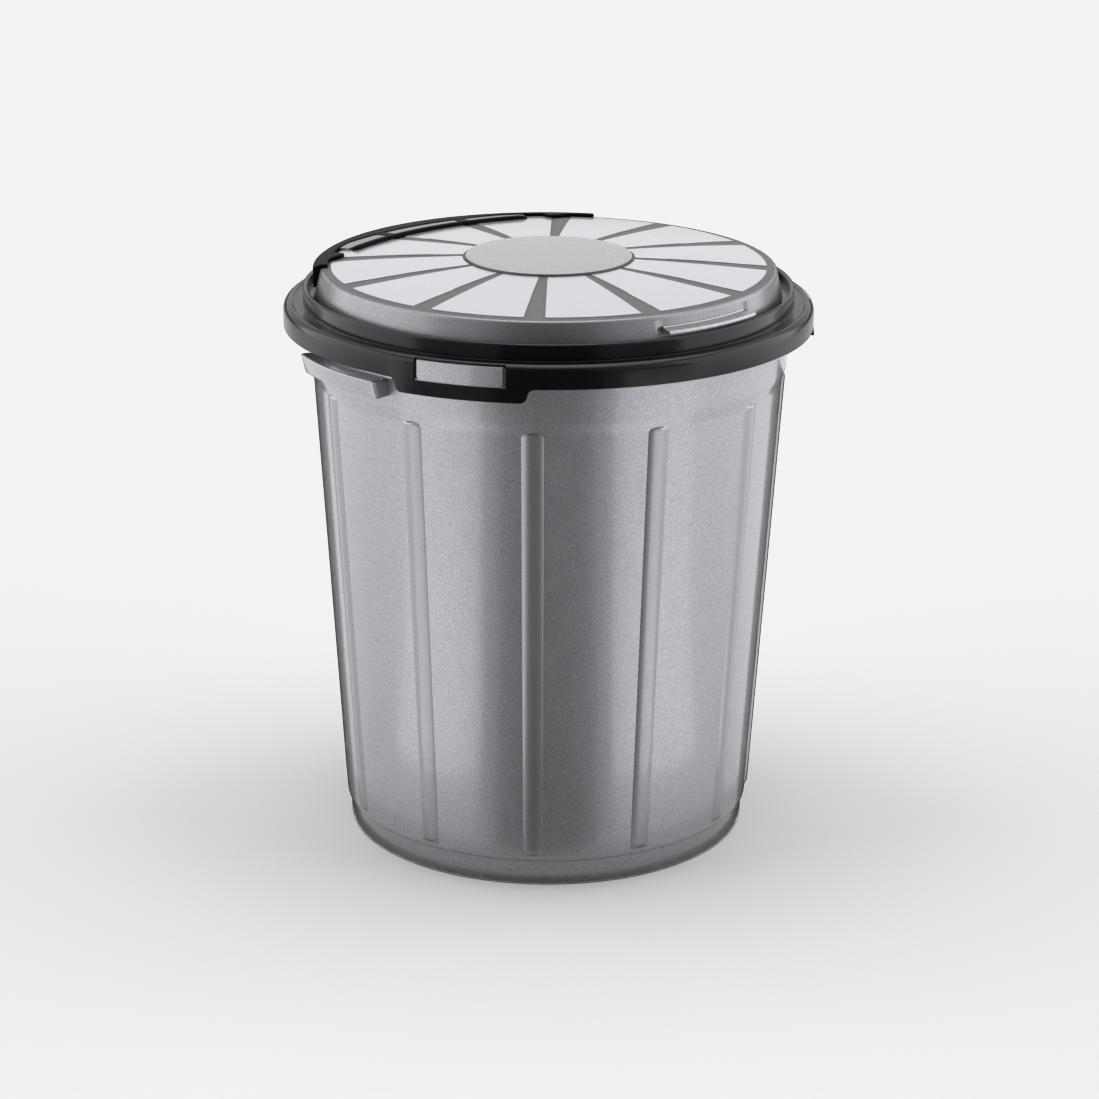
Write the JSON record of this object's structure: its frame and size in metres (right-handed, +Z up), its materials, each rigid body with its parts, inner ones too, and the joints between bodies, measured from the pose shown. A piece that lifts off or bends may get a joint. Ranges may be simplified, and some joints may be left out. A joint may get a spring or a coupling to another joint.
{
  "type": "trash can",
  "caption": "Round tapered waste bin with a clip-on ring held by clasps, side carry grips and a hinged domed lid with a lift lip.",
  "frame": {"origin": "middle of the footprint, on the floor", "axes": "+Z up, -Y towards the lid's lift lip, +Y towards the hinge"},
  "size_m": [0.4343, 0.4342, 0.4884],
  "materials": {
    "silver_plastic": "satin moulded polypropylene with metallic flake",
    "lid_plastic": "satin moulded polypropylene with metallic flake and polished panels",
    "black_plastic": "glossy moulded polypropylene"
  },
  "bodies": {
    "bucket_body": {"bucket": "silver_plastic", "carry_grip_left": "silver_plastic", "carry_grip_right": "silver_plastic"},
    "ring_body": {"rim_ring": "black_plastic", "clasp_tongue_front_left": "black_plastic", "clasp_tongue_front_right": "black_plastic", "clasp_tongue_rear_left": "black_plastic", "clasp_tongue_rear_right": "black_plastic", "hinge_pin_left": "black_plastic", "hinge_pin_right": "black_plastic"},
    "lid_body": {"lid_shell": "lid_plastic", "lid_centre_disc": "lid_plastic", "hinge_yoke": "black_plastic"}
  },
  "joints": [
    {"name": "ring_lift", "type": "slide", "parent": "bucket_body", "child": "ring_body", "axis": [0, 0, 1], "range_m": [0, 0.12], "deforming": ["clasp_tongue_front_left", "clasp_tongue_front_right", "clasp_tongue_rear_left", "clasp_tongue_rear_right"]},
    {"name": "lid_hinge", "type": "hinge", "parent": "ring_body", "child": "lid_body", "pos_m": [0, 0.207, 0.4632], "axis": [-1, 0, 0], "range_deg": [0, 100]}
  ]
}
